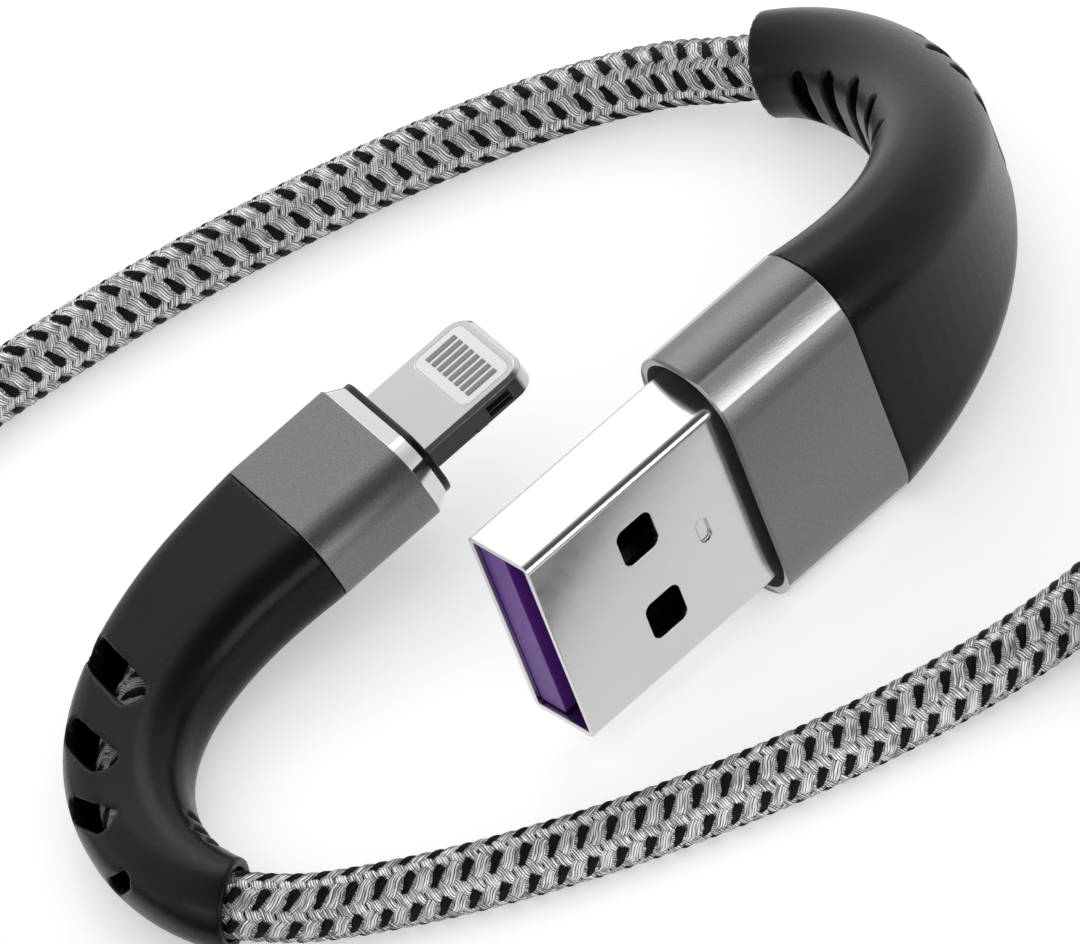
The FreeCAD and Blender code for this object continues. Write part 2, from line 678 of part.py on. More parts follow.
def phone_chip():
    z = BOARD_THICKNESS / 2 + CHIP_HEIGHT / 2
    start = TAB_END + 3 * FIT
    return block(start, start + CHIP_LENGTH, CHIP_WIDTH, CHIP_HEIGHT, 0, 0, z)


def phone_wires():
    z = BOARD_THICKNESS / 2 + WIRE_DIAMETER / 2 + 0.01
    turn_x = PHONE_CHAMBER_END - BOARD_END_ROOM
    wires = []
    for k in range(4):
        y = (k - 1.5) * 0.75
        begin = V(turn_x - 0.8, y, z)
        turn = V(turn_x, y, z)
        end = V(PHONE_CORD_START - 3 * FIT, y * 0.85, z * 0.6)
        wire = rod(begin, turn, WIRE_DIAMETER).fuse(rod(turn, end, WIRE_DIAMETER))
        wires.append(wire.fuse(Part.makeSphere(WIRE_DIAMETER / 2, turn)))
    return Part.makeCompound(wires)


def phone_boot():
    return boot(
        phone_bend,
        (PHONE_SLEEVE_WIDTH, PHONE_SLEEVE_THICKNESS),
        PHONE_SLEEVE_CORNER,
        PHONE_BOOT_END,
        (PHONE_BOOT_TAPER_WIDTH, PHONE_BOOT_TAPER_THICKNESS),
        PHONE_BOOT_WALL,
        PHONE_SLOTS,
    )


def phone_cord_end():
    return cord_in_boot(phone_bend, CORD_DIAMETER, CORD_END_START, CORD_END_STOP)


# --- cord ----------------------------------------------------------------------------------------
def coil_point(angle, z):
    return COIL_CENTRE + heading(angle) * COIL_OUTER_TURN + V(0, 0, z)


def cord_coil():
    """The put-away turns as one ring, with the straight cord that runs into and out of it."""
    skin = CORD_DIAMETER / 2 + COIL_SKIN
    width = COIL_PITCH * (COIL_COLUMNS - 1) + 2 * skin
    height = COIL_PITCH * (COIL_ROWS - 1) + 2 * skin
    middle = COIL_CENTRE + V(COIL_RADIUS, 0, CORD_SEAT - COIL_SKIN + height / 2)
    wire = rounded_wire(width, height, skin - 0.01, middle, V(1, 0, 0), V(0, 0, 1))
    ring = Part.Face(wire).revolve(COIL_CENTRE, V(0, 0, 1), 360)
    lead_in = rod(HOST_ROUTE[-1], coil_point(COIL_IN_ANGLE, LOW), CORD_DIAMETER)
    lead_out = rod(PHONE_ROUTE[-1], coil_point(COIL_OUT_ANGLE, COIL_UPPER_ROW), CORD_DIAMETER)
    return ring.fuse(lead_in).fuse(lead_out).removeSplitter()


def at_host(shape):
    shape = shape.copy()
    shape.Placement = host_place.multiply(shape.Placement)
    return shape


def at_phone(shape):
    shape = shape.copy()
    shape.Placement = phone_place.multiply(shape.Placement)
    return shape


# --- every node, in place ------------------------------------------------------------------------
host_nodes = {
    "host_shell": host_shell(),
    "host_tongue": host_tongue(),
    "host_contact_power": host_contact(0),
    "host_contact_data_minus": host_contact(1),
    "host_contact_data_plus": host_contact(2),
    "host_contact_ground": host_contact(3),
    "host_inner_mould": host_inner_mould(),
    "host_wires": host_wires(),
    "host_crimp": host_crimp(),
    "host_sleeve": host_sleeve(),
}
phone_nodes = {
    "phone_tab": phone_tab(),
    "phone_insert": phone_insert(),
    "phone_pads_upper": phone_pads(1),
    "phone_pads_lower": phone_pads(-1),
    "phone_lip": phone_lip(),
    "phone_bezel": phone_bezel(),
    "phone_board": phone_board(),
    "phone_chip": phone_chip(),
    "phone_wires": phone_wires(),
    "phone_inner_mould": phone_inner_mould(),
    "phone_sleeve": phone_sleeve(),
}
nodes = {name: at_host(shape) for name, shape in host_nodes.items()}
nodes.update({name: at_phone(shape) for name, shape in phone_nodes.items()})
nodes["host_boot"] = host_boot()
nodes["host_cord_end"] = host_cord_end()
nodes["phone_boot"] = phone_boot()
nodes["phone_cord_end"] = phone_cord_end()
plugs = Part.makeCompound(list(nodes.values())).BoundBox
nodes["cord_host_run"], host_run_length = cord_run(HOST_ROUTE, "host run")
nodes["cord_phone_run"], phone_run_length = cord_run(PHONE_ROUTE, "phone run")
nodes["cord_coil"] = cord_coil()

os.makedirs("parts", exist_ok=True)
for name, shape in nodes.items():
    shape.exportStep(os.path.join("parts", name + ".step"))

turns = (COIL_OUT_ANGLE - COIL_IN_ANGLE) / 360 + COIL_ROWS * COIL_COLUMNS - 1
coil_length = turns * 2 * math.pi * COIL_RADIUS + 2 * COIL_LEAD
total = host_run_length + coil_length + phone_run_length
print("nodes", len(nodes), "cord length", round(total), "turns", round(turns, 2))
print("plugs and boots", plugs)
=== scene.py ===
# %% [markdown]
# # A braided charging cable
# The cable has a wide host plug with a bright steel shell, a slim reversible phone plug, a long
# slotted boot behind each, and one braided cord. The construction model is a fixed frame: it
# gives every piece its place and the two flexing joints. This script gives the pieces their real
# surfaces, and builds anew what is soft: the braid, the yarns and the two boots.

# %% Load the frame
import json
import math

import bpy
import numpy as np
from mathutils import Matrix, Vector


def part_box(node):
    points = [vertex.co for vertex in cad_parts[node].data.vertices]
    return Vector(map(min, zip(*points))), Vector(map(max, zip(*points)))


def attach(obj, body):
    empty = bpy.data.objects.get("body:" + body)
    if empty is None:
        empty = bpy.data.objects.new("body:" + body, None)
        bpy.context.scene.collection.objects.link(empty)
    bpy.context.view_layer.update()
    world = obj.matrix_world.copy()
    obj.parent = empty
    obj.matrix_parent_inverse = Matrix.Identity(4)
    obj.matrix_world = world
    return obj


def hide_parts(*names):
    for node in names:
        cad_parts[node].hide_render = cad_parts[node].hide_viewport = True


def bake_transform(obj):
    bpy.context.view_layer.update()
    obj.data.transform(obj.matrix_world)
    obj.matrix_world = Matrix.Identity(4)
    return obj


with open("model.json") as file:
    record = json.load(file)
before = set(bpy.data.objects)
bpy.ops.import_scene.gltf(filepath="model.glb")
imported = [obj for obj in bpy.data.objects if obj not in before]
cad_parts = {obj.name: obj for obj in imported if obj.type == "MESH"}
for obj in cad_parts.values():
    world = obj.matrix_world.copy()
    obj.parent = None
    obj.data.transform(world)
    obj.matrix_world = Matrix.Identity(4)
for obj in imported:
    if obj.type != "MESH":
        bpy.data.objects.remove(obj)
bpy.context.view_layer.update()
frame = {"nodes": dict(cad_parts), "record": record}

MM = 0.001
nodes = frame["nodes"]
scene = bpy.context.scene
scene.view_settings.view_transform = "Standard"

# %% [markdown]
# ## Camera
# A cable is a small thing, seen from over half a metre away, so its lines hardly converge. A
# wide lens close up would swell the nearer plug. A long lens far off keeps both plugs true, and
# the camera is a little rolled, as a hand-held one is over a table.

# %% Camera
VIEW_RIGHT = Vector((0.70814, -0.64650, -0.28386))
VIEW_UP = Vector((0.61501, 0.36728, 0.69775))
VIEW_BACK = Vector((-0.34684, -0.66869, 0.65769))
LOOK_AT = Vector((1.82, 4.71, 0)) * MM
VIEW_WIDTH = 54 * MM
LENS = 600
SENSOR = 36
NEAREST = 0.2   # of the camera's distance, and so is the next
FARTHEST = 20


def turned(right, up, back, place):
    """A matrix from three directions and a place."""
    columns = Matrix((right, up, back)).transposed().to_4x4()
    return Matrix.Translation(place) @ columns


camera_data = bpy.data.cameras.new("camera")
camera_data.lens = LENS
camera_data.sensor_width = SENSOR
distance = VIEW_WIDTH * LENS / SENSOR
camera_data.clip_start = distance * NEAREST
camera_data.clip_end = distance * FARTHEST
camera = bpy.data.objects.new("camera", camera_data)
scene.collection.objects.link(camera)
camera.matrix_world = turned(VIEW_RIGHT, VIEW_UP, VIEW_BACK, LOOK_AT + VIEW_BACK * distance)
scene.camera = camera
print("camera", round(distance, 3), "m away")

# %% [markdown]
# ## The way the cord lies
# A braided cord is springy: it leaves each boot straight, swings out in wide curves and lies on
# the table. It could be traced with many short runs, but those look like bent wire. One smooth
# spline, pulled into shape by a few chosen points, keeps the curves even. Most of the length is
# put away in a neat coil, two turns high and three wide.

# %% Route of the cord
LOW = 1.75      # the middle of the cord where it lies on the table; the route is in millimetres
HOST_ROUTE = [
    (27.19, 13.27, 2.75),
    (25.90, 15.05, 2.52),
    (24.35, 18.43, 2.1),
    (18.59, 23.44, LOW),
    (8.82, 28.21, LOW),
    (-3.49, 32.19, LOW),
    (-16.76, 34.3, LOW),
    (-29.96, 28.98, LOW),
    (-38.83, 16.85, LOW),
    (-40.14, 1.65, LOW),
    (-35.02, -12.33, LOW),
    (-27.45, -26.31, LOW),
    (-18.38, -41.79, LOW),
    (-8.38, -59.89, LOW),
    (2.02, -65.89, LOW),
]
PHONE_ROUTE = [
    (-28.68, -6.89, 2.65),
    (-27.63, -8.67, 2.36),
    (-25.45, -11.00, 1.95),
    (-19.70, -16.03, LOW),
    (-11.75, -21.46, LOW),
    (-1.93, -26.20, LOW),
    (7.64, -28.91, LOW),
    (15.60, -29.98, 3.13),
]
print("route", len(HOST_ROUTE), "points at the host plug and", len(PHONE_ROUTE), "at the other")

# %% [markdown]
# ## The coil
# The spare length is wound as a hand winds it: inwards on the table, then outwards on top of the
# first layer. Typing its points would take a hundred lines, so a loop works them out. Each turn
# keeps to its own place in the bundle, and moves over to the next place just before it would
# meet the turn that lies there.

# %% Coil of the spare cord
COIL_CENTRE = (24.82, -53.49)
COIL_RADIUS = 18.7
COIL_PITCH = 3.45
COIL_IN = -120.0        # the angle where the cord runs in
LAST_TURN = 204.0
POINTS_PER_TURN = 18
CELLS = [(2, 0), (1, 0), (0, 0), (0, 1), (1, 1), (2, 1)]    # column and layer of each turn
SHIFT_BEFORE = [22, 45, 70, 95, 120]    # how early a turn moves over, in degrees
SHIFT_HALF = 14


def ease(x):
    """A smooth step from 0 to 1."""
    x = min(max(x, 0.0), 1.0)
    return x * x * (3 - 2 * x)


def coil_turns():
    """Points of the coil, turn by turn, in the plane of the table and up from it."""
    total = 360 * (len(CELLS) - 1) + LAST_TURN
    count = round(total / 360 * POINTS_PER_TURN)
    found = []
    for k in range(count + 1):
        turn = total * k / count
        column, row = CELLS[0]
        for n, before in enumerate(SHIFT_BEFORE):
            share = ease((turn - (360 * (n + 1) - before - SHIFT_HALF)) / (2 * SHIFT_HALF))
            column += (CELLS[n + 1][0] - CELLS[n][0]) * share
            row += (CELLS[n + 1][1] - CELLS[n][1]) * share
        radius = COIL_RADIUS + (column - 1) * COIL_PITCH
        angle = math.radians(COIL_IN + turn)
        x = COIL_CENTRE[0] + radius * math.cos(angle)
        y = COIL_CENTRE[1] + radius * math.sin(angle)
        found.append((x, y, LOW + COIL_PITCH * row))
    return found


coil_points = coil_turns()
route = [Vector(p) * MM for p in HOST_ROUTE + coil_points + PHONE_ROUTE[::-1]]
print("route points", len(route), "of them in the coil", len(coil_points))

# %% [markdown]
# ## The middle line
# Everything that makes the cord follows one line. Its points could be worked out by hand, but
# Blender does that already when it draws a curve. So a curve is made, its points are read, and
# the curve itself isn't kept.

# %% Middle line of the cord
SPLINE_STEPS = 14


def spline_points(name, points):
    """Points along a smooth spline that has the given points as its control points."""
    data = bpy.data.curves.new(name, "CURVE")
    data.dimensions = "3D"
    spline = data.splines.new("NURBS")
    spline.points.add(len(points) - 1)
    for place, point in zip(spline.points, points):
        place.co = (*point, 1.0)
    spline.order_u = 3
    spline.use_endpoint_u = True
    spline.resolution_u = SPLINE_STEPS
    return read_curve(data)


def read_curve(data):
    """The points that Blender draws a curve with."""
    holder = bpy.data.objects.new(data.name, data)
    mesh = bpy.data.meshes.new_from_object(holder)
    line = np.array([v.co for v in mesh.vertices], float)
    bpy.data.meshes.remove(mesh)
    bpy.data.objects.remove(holder)
    bpy.data.curves.remove(data)
    return line


route_line = spline_points("cord_route", route)
print("points on the line", len(route_line))

# %% [markdown]
# ## Directions along the line
# Yarns wind round the line, so each place on it needs two directions across. Worked out anew at
# each place, they could flip where the cord turns, and the yarns would jump. Here each place
# takes its directions from the one before, without a twist, and the yarns wind evenly.

# %% Line with directions
SAME_PLACE = 1e-7


class Line:
    """A line with its length and, at each place, its way and two directions across it."""

    def __init__(self, points):
        steps = np.linalg.norm(np.diff(points, axis=0), axis=1)
        points = points[np.r_[True, steps > SAME_PLACE]]
        steps = steps[steps > SAME_PLACE]
        self.points = points
        self.along = np.r_[0, np.cumsum(steps)]
        self.length = self.along[-1]
        way = np.gradient(points, self.along, axis=0)
        self.way = way / np.linalg.norm(way, axis=1)[:, None]
        side = np.cross(self.way[0], (0, 0, 1))
        sides = []
        for w in self.way:
            side = side - w * side.dot(w)
            side = side / np.linalg.norm(side)
            sides.append(side)
        self.side = np.array(sides)

    def at(self, s):
        """Places, ways, sides and tops at the lengths s."""
        place, way, side = (
            np.stack([np.interp(s, self.along, known[:, k]) for k in range(3)], 1)
            for known in (self.points, self.way, self.side)
        )
        way /= np.linalg.norm(way, axis=1)[:, None]
        side -= way * (side * way).sum(1)[:, None]
        side /= np.linalg.norm(side, axis=1)[:, None]
        return place, way, side, np.cross(way, side)


cord_line = Line(route_line)
print("cord", round(cord_line.length / MM), "mm")

# %% [markdown]
# ## Finishes from nodes
# No real surface is one flat colour. Each finish here starts from a plain shader and adds fine
# grain to its roughness and its relief, and a slow change of tone. One helper makes the nodes
# that all finishes share, so that each later cell only says what is special about its material.

# %% Nodes that every finish uses
MIX_FIRST, MIX_SECOND, MIX_COLOUR = 6, 7, 2     # the colour sockets of a mix node


def node_of(tree, kind, **values):
    """A shader node with its sockets and settings filled in."""
    node = tree.nodes.new(kind)
    for name, value in values.items():
        if name in node.inputs:
            node.inputs[name].default_value = value
        else:
            setattr(node, name, value)
    return node


def noise(tree, source, scale, detail, stretch=(1, 1, 1), rough=0.5):
    """Noise at a scale in marks per metre, stretched along an axis."""
    mapping = node_of(tree, "ShaderNodeMapping")
    mapping.inputs["Scale"].default_value = stretch
    tree.links.new(source, mapping.inputs["Vector"])
    made = node_of(tree, "ShaderNodeTexNoise", Scale=scale, Detail=detail, Roughness=rough)
    tree.links.new(mapping.outputs["Vector"], made.inputs["Vector"])
    return made.outputs["Fac"]


def spread(tree, source, low, high, start=0.3, end=0.7):
    """A value between low and high that follows the source."""
    made = node_of(tree, "ShaderNodeMapRange")
    for name, value in zip(("From Min", "From Max", "To Min", "To Max"), (start, end, low, high)):
        made.inputs[name].default_value = value
    tree.links.new(source, made.inputs["Value"])
    return made.outputs["Result"]


def tones(tree, factor, first, second):
    """The first colour where the factor is 0 and the second where it is 1."""
    made = node_of(tree, "ShaderNodeMix", data_type="RGBA")
    tree.links.new(factor, made.inputs[0])
    for socket, colour in ((MIX_FIRST, first), (MIX_SECOND, second)):
        if isinstance(colour, tuple):
            made.inputs[socket].default_value = (*colour, 1)
        else:
            tree.links.new(colour, made.inputs[socket])
    return made.outputs[MIX_COLOUR]


def new_material(name, values):
    """A material with its node tree and its shader, which gets the values given by name."""
    material = bpy.data.materials.new(name)
    material.use_nodes = True
    shader = material.node_tree.nodes["Principled BSDF"]
    for key, value in values.items():
        shader.inputs[key.replace("_", " ")].default_value = value
    return material, material.node_tree, shader


print("helpers for shader nodes")

# %% [markdown]
# ## One finish for hard and smooth surfaces
# Paint, moulded plastic and polished metal differ in a few numbers: two tones, how rough the
# surface is, how fine its grain is and how deep. One function takes them all, which keeps the
# finishes alike in build, and easy to compare and to change.

# %% Finish
EDGE_SAMPLES = 6


def finish(name, dark, light, roughness, grain, depth, metallic=0.0, tone_scale=90.0, edge=0.0,
           **more):
    """A material with two tones, a roughness range and fine relief of a given grain."""
    material, tree, shader = new_material(name, {"Metallic": metallic, **more})
    source = node_of(tree, "ShaderNodeTexCoord").outputs["Object"]
    slow = noise(tree, source, tone_scale, detail=3.0)
    fine = noise(tree, source, grain, detail=3.0, rough=0.6)
    tree.links.new(tones(tree, spread(tree, slow, 0, 1), dark, light), shader.inputs["Base Color"])
    tree.links.new(spread(tree, fine, *roughness), shader.inputs["Roughness"])
    bump = node_of(tree, "ShaderNodeBump", Strength=1.0, Distance=depth)
    tree.links.new(fine, bump.inputs["Height"])
    if edge:
        soft = node_of(tree, "ShaderNodeBevel", samples=EDGE_SAMPLES, Radius=edge)
        tree.links.new(soft.outputs["Normal"], bump.inputs["Normal"])
    tree.links.new(bump.outputs["Normal"], shader.inputs["Normal"])
    return material


def grey(value):
    """A colour with no hue."""
    return (value, value, value)


cord_jacket = finish(
    "cord_jacket", grey(0.006), grey(0.012), (0.45, 0.6), grain=3000, depth=0.01 * MM,
    tone_scale=300,
)
print("first finish", cord_jacket.name)

# %% [markdown]
# ## Yarn
# The braid is made of smooth filament yarn: silver grey for most carriers, black for a few. One
# carrier holds a flat bundle of five threads. The bundle's own coordinates run across the threads
# and along them, so the shader can paint shade into the groove between two threads, give each
# thread its own tone, and draw the filaments out along its length.

# %% Yarn shader
THREADS = 5
FILAMENTS = (4.0, 0.5, 1.0)     # marks across and along a thread
WANDER = 0.9                    # how far a thread strays from its place, in threads
GROOVE_SHADE_EDGE = (0.05, 0.26)      # in threads from its middle: the groove's painted shade is black, and has ended
TONE_EDGE = (0.33, 0.53)        # of the noise: a thread has its darkest tone, and its lightest
FILAMENT_RELIEF = 0.35          # of a thread's own height
YARN_RELIEF = 0.04 * MM


def math_node(tree, operation, source, value=0.0):
    """One step of arithmetic on a value."""
    made = node_of(tree, "ShaderNodeMath", operation=operation)
    made.inputs[1].default_value = value
    tree.links.new(source, made.inputs[0])
    return made.outputs[0]


def yarn(name, groove, dark, light, roughness, **more):
    """Threads side by side: painted shade darkens the groove between two, and each thread has its
    own tone.
    """
    material, tree, shader = new_material(name, more)
    place = node_of(tree, "ShaderNodeTexCoord").outputs["UV"]
    across = node_of(tree, "ShaderNodeSeparateXYZ")
    tree.links.new(place, across.inputs[0])
    wander = noise(tree, place, scale=0.9, detail=1.0, stretch=(0.7, 1.1, 1.0))
    moved = node_of(tree, "ShaderNodeMath", operation="MULTIPLY_ADD")
    moved.inputs[1].default_value = WANDER
    tree.links.new(wander, moved.inputs[0])
    tree.links.new(across.outputs["X"], moved.inputs[2])
    saw = math_node(tree, "FRACT", moved.outputs[0])
    ridge = math_node(tree, "ABSOLUTE", math_node(tree, "SUBTRACT", saw, 0.5))
    filaments = noise(tree, place, scale=2.2, detail=3.0, stretch=FILAMENTS, rough=0.6)
    own_tone = noise(tree, place, scale=1.3, detail=2.0, stretch=(1.0, 0.8, 1.0))
    thread = tones(tree, spread(tree, own_tone, 0, 1, *TONE_EDGE), dark, light)
    # painted shade: the groove between two threads is darkened in the colour
    shade = tones(tree, spread(tree, ridge, 0, 1, *GROOVE_SHADE_EDGE), groove, thread)
    tree.links.new(shade, shader.inputs["Base Color"])
    tree.links.new(spread(tree, filaments, *roughness), shader.inputs["Roughness"])
    height = node_of(tree, "ShaderNodeMath", operation="MULTIPLY_ADD")
    height.inputs[1].default_value = FILAMENT_RELIEF
    tree.links.new(filaments, height.inputs[0])
    tree.links.new(ridge, height.inputs[2])
    bump = node_of(tree, "ShaderNodeBump", Strength=0.8, Distance=YARN_RELIEF)
    tree.links.new(height.outputs[0], bump.inputs["Height"])
    tree.links.new(bump.outputs["Normal"], shader.inputs["Normal"])
    return material


print("threads in a bundle", THREADS)

# %% [markdown]
# ## Three yarns
# The silver yarn is a little metallic, because its smooth filaments shine, and it has some sheen
# from the ones that stand out. Hardly any light gets into the boots, so the yarn there is a darker
# copy of the silver yarn, with painted shade in its colour. The black yarn is darker than the
# jacket, and shines less than the silver one.

# %% Yarn finishes
# painted shade for the grooves between threads
GROOVE_SHADE = (0.004, 0.004, 0.006)
silver_yarn = yarn(
    "silver_yarn", GROOVE_SHADE, (0.24, 0.24, 0.27), (0.98, 0.98, 1.0),
    (0.26, 0.40), Metallic=0.45, Sheen_Weight=0.3, Sheen_Roughness=0.4,
)
# painted shade: a darker copy of the silver yarn for the braid inside the boots
painted_shade_yarn = yarn(
    "painted_shade_yarn", GROOVE_SHADE, (0.07, 0.07, 0.08), (0.30, 0.30, 0.32), (0.4, 0.6),
)
black_yarn = yarn(
    "black_yarn", (0.0008, 0.0008, 0.001), (0.002, 0.002, 0.003), (0.012, 0.012, 0.016),
    (0.36, 0.52), Specular_IOR_Level=0.1,
)
print("yarns", silver_yarn.name, painted_shade_yarn.name, black_yarn.name)

# %% [markdown]
# ## Braid
# A braiding machine runs one half of the carriers each way round. Here twelve go left and twelve
# right, and each passes over two of the others and then under two, which gives the herringbone
# columns along the cord. A bump texture could fake it, but the outline would stay smooth. Every
# carrier is built as a ribbon of yarns that really rises and dives.

# %% Path of one carrier
CARRIERS = 12                   # each way round
COLUMNS = 6                     # of herringbone, round the cord
LAY = 8.8 * MM                  # the length in which a carrier goes round once
TURN_RATE = 2 * math.pi / LAY
YARN_MIDDLE = 1.525 * MM        # from the cord's middle line
YARN_DIVE = 0.085 * MM          # up and down from there, over and under the others
DIVE_SHARPNESS = 2.2
CROWN = 0.085 * MM              # a ribbon's middle over its sides
RIB = 0.034 * MM                # up at each thread and down at each groove
STEEPER = 0.64                  # how much a carrier's slant changes as it rises and dives
LONGER_OVER = 0.28              # a carrier is on top for more than half of its way
WIDER_OVER = 0.08               # and is a little wider there
RAISED = 0.43                   # the hand with the black carriers is on top for longer still
BUNDLE_HALF = 0.3 * MM          # half the width of a carrier's bundle
BLACK_HALF = 0.66               # a black bundle's width as a share of a silver one's
TAPER = -0.28                   # and how much it narrows towards one end
PLAIN_PROFILE = [(-1, 0), (-0.4, 0.6), (0.4, 0.6), (1, 0)]      # a ribbon that shows no threads


def ribbon(line, phi, start, hand, profile, black, black_hand, column):
    """The points of one carrier: hand is 1 or -1, profile lists the places across from -1 to 1."""
    theta = start + hand * phi
    wave = COLUMNS * (theta - column)
    s = (phi - STEEPER * np.sin(wave) / COLUMNS) / TURN_RATE
    over = hand * (np.cos(wave) + black_hand * RAISED) + LONGER_OVER
    lean = np.arctan(YARN_MIDDLE * TURN_RATE / (1 - hand * STEEPER * np.cos(wave)))
    share = BLACK_HALF * (1 + TAPER * np.sin(wave)) if black else 1.0
    wide = BUNDLE_HALF * share * (1 + WIDER_OVER * over)
    lift = YARN_DIVE * np.tanh(DIVE_SHARPNESS * over)
    place, way, side, top = line.at(s)
    rows = []
    for x, ridge in profile:
        offset = x * wide
        angle = theta + hand * offset * np.cos(lean) / YARN_MIDDLE
        ahead = -offset * np.sin(lean)
        radius = YARN_MIDDLE + lift + CROWN * (1 - x * x) + RIB * ridge
        out = side * np.cos(angle)[:, None] + top * np.sin(angle)[:, None]
        rows.append(place + way * ahead[:, None] + out * radius[:, None])
    return np.stack(rows, 1)


def yarn_profile(threads):
    """Places across a ribbon with their heights: up for a thread, down for a groove."""
    if not threads:
        return PLAIN_PROFILE
    count = 2 * threads + 1
    return [(2 * k / (count - 1) - 1, 1 if k % 2 else -1) for k in range(count)]


print("carriers", 2 * CARRIERS, "once round in", round(LAY / MM, 1), "mm")

# %% [markdown]
# ## From numbers to a mesh
# Faces can be added to a mesh one by one, but a braid has hundreds of thousands of them. Here a
# mesh is filled from whole lists of numbers, which is far faster. The flat coordinates go in with
# the faces, so that the yarn's shader knows where each thread runs.

# %% Mesh from lists
CORNERS = 4


def mesh_object(name, points, faces, uvs, indices, materials):
    """An object from lists of points, four-sided faces, flat coordinates and material numbers."""
    mesh = bpy.data.meshes.new(name)
    mesh.vertices.add(len(points))
    mesh.vertices.foreach_set("co", points.astype(np.float32).ravel())
    mesh.loops.add(faces.size)
    mesh.loops.foreach_set("vertex_index", faces.astype(np.int32).ravel())
    mesh.polygons.add(len(faces))
    mesh.polygons.foreach_set("loop_start", np.arange(len(faces), dtype=np.int32) * CORNERS)
    mesh.polygons.foreach_set("material_index", indices.astype(np.int32))
    mesh.polygons.foreach_set("use_smooth", np.ones(len(faces), bool))
    mesh.uv_layers.new(name="UVMap").data.foreach_set("uv", uvs[faces.ravel()].ravel())
    mesh.update(calc_edges=True)
    mesh.validate()
    for material in materials:
        mesh.materials.append(material)
    made = bpy.data.objects.new(name, mesh)
    scene.collection.objects.link(made)
    return made


print("a helper for meshes of faces with", CORNERS, "corners")

# %% [markdown]
# ## From carriers to one piece
# Twenty-four ribbons could be twenty-four pieces, but a braid is one thing to pick up and to
# colour. Their faces are joined in one mesh with two materials, and black is chosen for every
# second carrier on one hand. In a real braid, too, only the yarn on a carrier makes a pattern.

# %% Braid
DEGREES_APART = 360 / CARRIERS
HOST_COLUMN = math.radians(27)      # the angle round the cord where a column begins
PHONE_COLUMN = math.radians(43)
FIBRE_SHIFT, HAND_SHIFT = 7, 3      # so that no two carriers have the same fibres


def braid(name, line, start, end, step, threads, silver, black_hand=1, column=HOST_COLUMN):
    """All carriers between two lengths of the line, as one piece with two yarn colours."""
    s = np.linspace(start, end, max(2, round((end - start) / step)))
    profile = yarn_profile(threads)
    wide = len(profile)
    points, faces, uvs, colours = [], [], [], []
    row = np.arange(len(s) - 1)[:, None] * wide + np.arange(wide - 1)[None, :]
    quad = np.stack([row, row + 1, row + wide + 1, row + wide], -1).reshape(-1, 4)
    across = np.array([x for x, _ in profile])
    for hand in (1, -1):
        for k in range(CARRIERS):
            begin = math.radians(DEGREES_APART * (k if hand == 1 else k + 0.5))
            black = hand == black_hand and k % 2 == 0
            found = ribbon(
                line, s * TURN_RATE, begin + column, hand, profile, black, black_hand, column
            )
            base = sum(len(p) for p in points)
            faces.append(quad[:, ::-hand] + base)
            points.append(found.reshape(-1, 3))
            own = FIBRE_SHIFT * k + HAND_SHIFT * hand
            u = np.broadcast_to(across * THREADS / 2 + own, (len(s), wide))
            v = np.broadcast_to((s / MM)[:, None], (len(s), wide))
            uvs.append(np.stack([u, v], -1).reshape(-1, 2))
            colours.append(np.full(len(quad), int(black)))
    return mesh_object(
        name, np.concatenate(points), np.concatenate(faces), np.concatenate(uvs),
        np.concatenate(colours), [silver, black_yarn],
    )


print("carriers set", DEGREES_APART, "degrees apart")

# %% [markdown]
# ## Jacket of the cord
# Under the braid is a thin black jacket. It shows only in the small gaps between the yarns. It
# is one long tube.

# %% Jacket
JACKET_RADIUS = 1.4 * MM
JACKET_SIDES = 12
JACKET_STEP = 1 * MM


def tube(name, line, start, end, step, radius, material):
    """A round tube between two lengths of the line, and the places that it follows."""
    s = np.linspace(start, end, round((end - start) / step))
    place, way, side, top = line.at(s)
    angle = np.arange(JACKET_SIDES) * 2 * math.pi / JACKET_SIDES
    out = side[:, None] * np.cos(angle)[None, :, None] + top[:, None] * np.sin(angle)[None, :, None]
    points = (place[:, None] + out * radius).reshape(-1, 3)
    ring = np.arange(len(s) - 1)[:, None] * JACKET_SIDES
    here = np.arange(JACKET_SIDES)[None, :]
    ahead = (here + 1) % JACKET_SIDES
    faces = np.stack([ring + here, ring + ahead, ring + ahead + JACKET_SIDES,
                      ring + here + JACKET_SIDES], -1).reshape(-1, 4)
    uvs = np.stack([np.tile(angle, len(s)), np.repeat(s / MM, JACKET_SIDES)], -1)
    made = mesh_object(name, points, faces, uvs, np.zeros(len(faces)), [material])
    return made, place


jacket, jacket_path = tube(
    "cord_jacket", cord_line, 0, cord_line.length, JACKET_STEP, JACKET_RADIUS, cord_jacket
)
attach(jacket, "cord")
print("jacket faces", len(jacket.data.polygons))

# %% [markdown]
# ## Braid over the free cord
# The whole braid would be one very heavy mesh, so it is made in five stretches that meet end to
# end. The stretches near the plugs show every thread. The ones in the coil have plain ribbons,
# which saves over two thirds of their faces. The black carriers run the other way round in the
# half towards the phone plug, and the change is in the middle of the coil.

# %% Braid over the free cord
FINE_STEP = 0.24 * MM
COARSE_STEP = 0.33 * MM


def length_at(place):
    """The length along the cord's line where it is nearest to a place of the route."""
    apart = np.linalg.norm(cord_line.points - np.array(Vector(place) * MM), axis=1)
    return cord_line.along[np.argmin(apart)]


